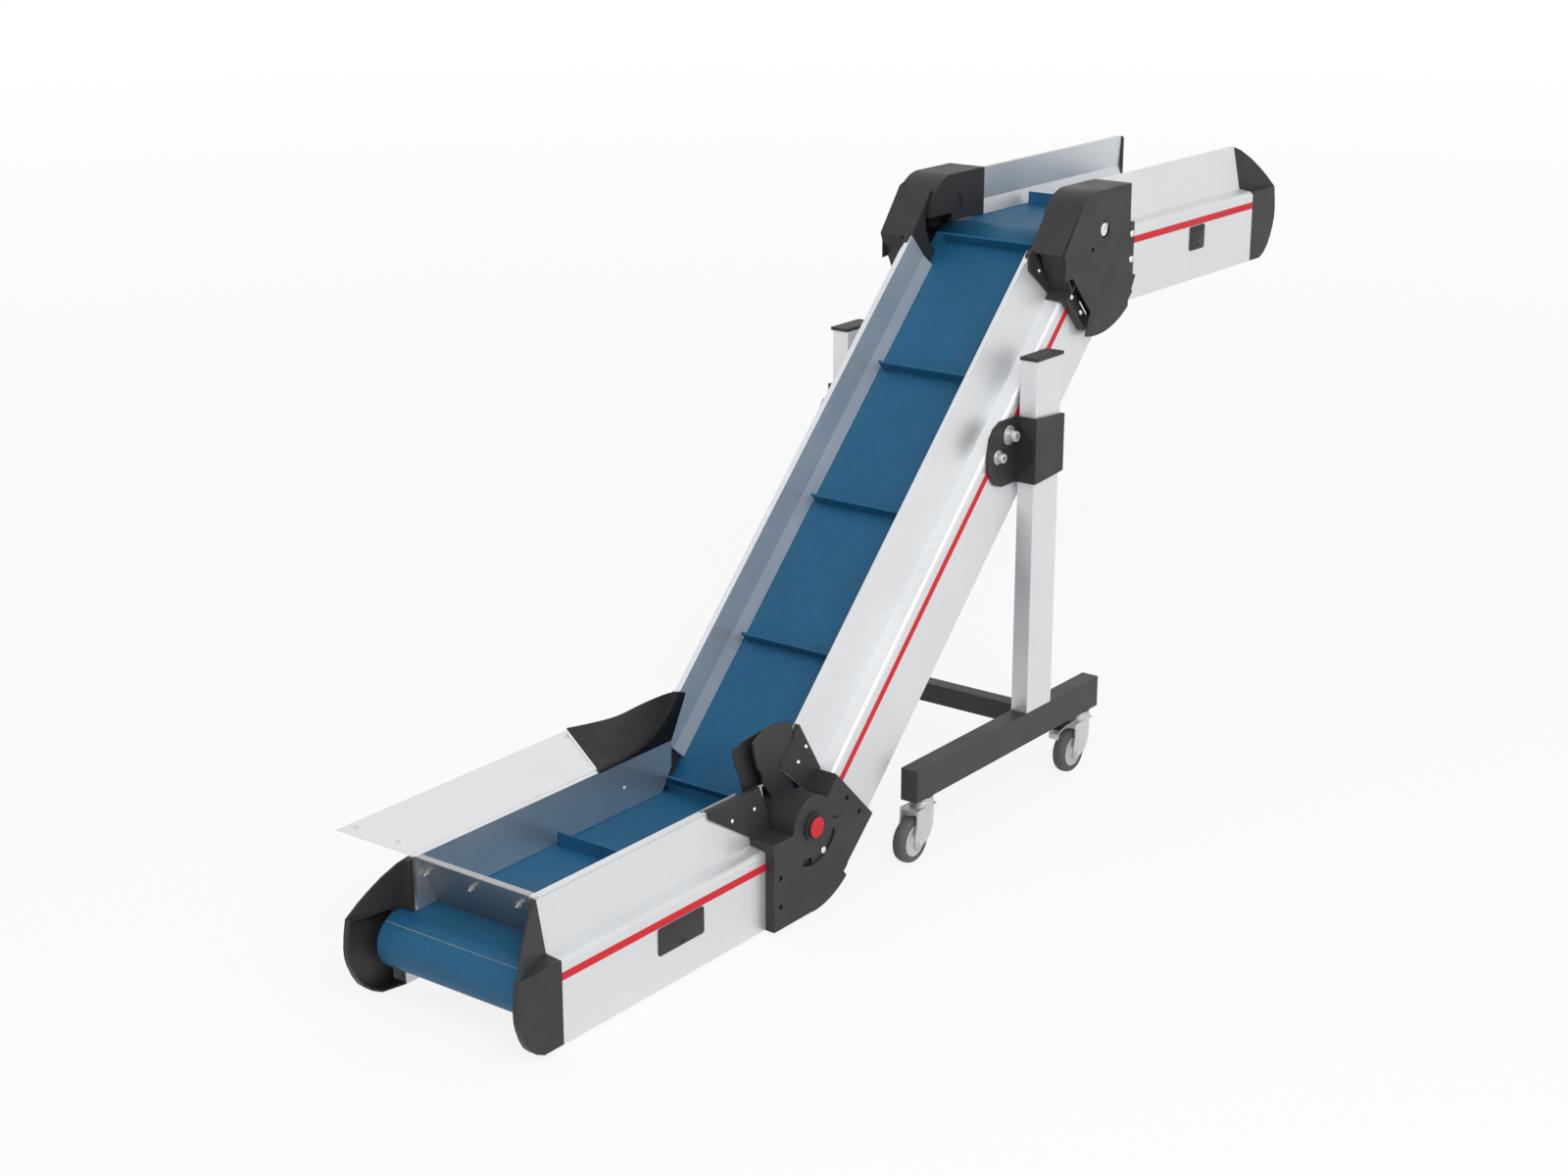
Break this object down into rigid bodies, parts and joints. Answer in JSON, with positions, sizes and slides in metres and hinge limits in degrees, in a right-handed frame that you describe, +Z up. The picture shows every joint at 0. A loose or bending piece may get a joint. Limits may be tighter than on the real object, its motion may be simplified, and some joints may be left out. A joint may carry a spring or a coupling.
{
  "type": "angle conveyor",
  "caption": "Swan-neck belt conveyor with level infeed and discharge, a steep cleated incline, side hopper and a height-adjustable stand on castors.",
  "frame": {"origin": "on the floor under the middle of the conveyor's outer box", "axes": "+X runs from the infeed to the discharge, +Z is up, -Y is the side with the belt covers"},
  "size_m": [2.224, 0.5032, 1.0636],
  "materials": {
    "white_metal": "satin",
    "black_metal": "satin",
    "black_plastic": "matte",
    "belt_blue": "matte",
    "steel": "brushed",
    "castor_grey": "zinc plated",
    "hub_grey": "matte",
    "tyre_grey": "matte"
  },
  "bodies": {
    "stand": {"beam_near": "black_metal", "beam_far": "black_metal", "cross_beam": "black_metal", "post_near": "white_metal", "post_far": "white_metal", "post_cap_near": "black_plastic", "post_cap_far": "black_plastic"},
    "carriage": {"bracket_near": "black_plastic", "bracket_far": "black_plastic"},
    "incline": {"side_incline_near": "white_metal", "side_incline_far": "white_metal", "bed_incline": "steel", "belt_incline": "belt_blue", "knuckle_low_incline_near": "black_plastic", "knuckle_low_incline_far": "black_plastic", "knuckle_high_incline_near": "black_plastic", "knuckle_high_incline_far": "black_plastic"},
    "infeed": {"side_infeed_near": "white_metal", "side_infeed_far": "white_metal", "bed_infeed": "steel", "belt_infeed": "belt_blue", "tail_drum": "black_plastic", "tail_cap_near": "black_plastic", "tail_cap_far": "black_plastic", "knuckle_low_infeed_near": "black_plastic", "knuckle_low_infeed_far": "black_plastic", "hopper_near": "white_metal", "hopper_far": "white_metal", "hopper_front": "white_metal", "hopper_guard": "black_plastic", "cover_infeed": "black_plastic", "belt_bend_low": "belt_blue"},
    "discharge": {"side_discharge_near": "white_metal", "side_discharge_far": "white_metal", "bed_discharge": "steel", "belt_discharge": "belt_blue", "head_drum": "black_plastic", "head_cap_near": "black_plastic", "head_cap_far": "black_plastic", "knuckle_high_discharge_near": "black_plastic", "knuckle_high_discharge_far": "black_plastic", "cover_discharge": "black_plastic", "belt_bend_high": "belt_blue"},
    "castor_front_near": {"castor_fork_front_near": "castor_grey"},
    "wheel_front_near": {"castor_hub_front_near": "hub_grey", "castor_tyre_front_near": "tyre_grey"},
    "castor_front_far": {"castor_fork_front_far": "castor_grey"},
    "wheel_front_far": {"castor_hub_front_far": "hub_grey", "castor_tyre_front_far": "tyre_grey"},
    "castor_rear_near": {"castor_fork_rear_near": "castor_grey"},
    "wheel_rear_near": {"castor_hub_rear_near": "hub_grey", "castor_tyre_rear_near": "tyre_grey"},
    "castor_rear_far": {"castor_fork_rear_far": "castor_grey"},
    "wheel_rear_far": {"castor_hub_rear_far": "hub_grey", "castor_tyre_rear_far": "tyre_grey"}
  },
  "joints": [
    {"name": "lift", "type": "slide", "parent": "stand", "child": "carriage", "axis": [0, 0, 1], "range_m": [0, 0.08]},
    {"name": "tilt", "type": "hinge", "parent": "carriage", "child": "incline", "pos_m": [0.1443, -0.03135, 0.6782], "axis": [0, 1, 0], "range_deg": [0, 15]},
    {"name": "infeed_level", "type": "hinge", "parent": "incline", "child": "infeed", "pos_m": [-0.4318, -0.03135, 0.1551], "axis": [0, 1, 0], "range_deg": [-15, 0], "deforming": ["belt_bend_low"]},
    {"name": "discharge_level", "type": "hinge", "parent": "incline", "child": "discharge", "pos_m": [0.4062, -0.03135, 0.9931], "axis": [0, 1, 0], "range_deg": [-15, 0], "deforming": ["belt_bend_high"]},
    {"name": "swivel_front_near", "type": "hinge", "parent": "stand", "child": "castor_front_near", "pos_m": [-0.13, -0.22885, 0.1104], "axis": [0, 0, 1], "continuous": true},
    {"name": "roll_front_near", "type": "hinge", "parent": "castor_front_near", "child": "wheel_front_near", "pos_m": [-0.1625, -0.22885, 0.04], "axis": [0, 1, 0], "continuous": true},
    {"name": "swivel_front_far", "type": "hinge", "parent": "stand", "child": "castor_front_far", "pos_m": [-0.13, 0.16615, 0.1104], "axis": [0, 0, 1], "continuous": true},
    {"name": "roll_front_far", "type": "hinge", "parent": "castor_front_far", "child": "wheel_front_far", "pos_m": [-0.1625, 0.16615, 0.04], "axis": [0, 1, 0], "continuous": true},
    {"name": "swivel_rear_near", "type": "hinge", "parent": "stand", "child": "castor_rear_near", "pos_m": [0.384, -0.22885, 0.1104], "axis": [0, 0, 1], "continuous": true},
    {"name": "roll_rear_near", "type": "hinge", "parent": "castor_rear_near", "child": "wheel_rear_near", "pos_m": [0.3515, -0.22885, 0.04], "axis": [0, 1, 0], "continuous": true},
    {"name": "swivel_rear_far", "type": "hinge", "parent": "stand", "child": "castor_rear_far", "pos_m": [0.384, 0.16615, 0.1104], "axis": [0, 0, 1], "continuous": true},
    {"name": "roll_rear_far", "type": "hinge", "parent": "castor_rear_far", "child": "wheel_rear_far", "pos_m": [0.3515, 0.16615, 0.04], "axis": [0, 1, 0], "continuous": true}
  ],
  "couplings": [
    {"joint": "infeed_level", "follows": "tilt", "ratio": -1},
    {"joint": "discharge_level", "follows": "tilt", "ratio": -1}
  ]
}
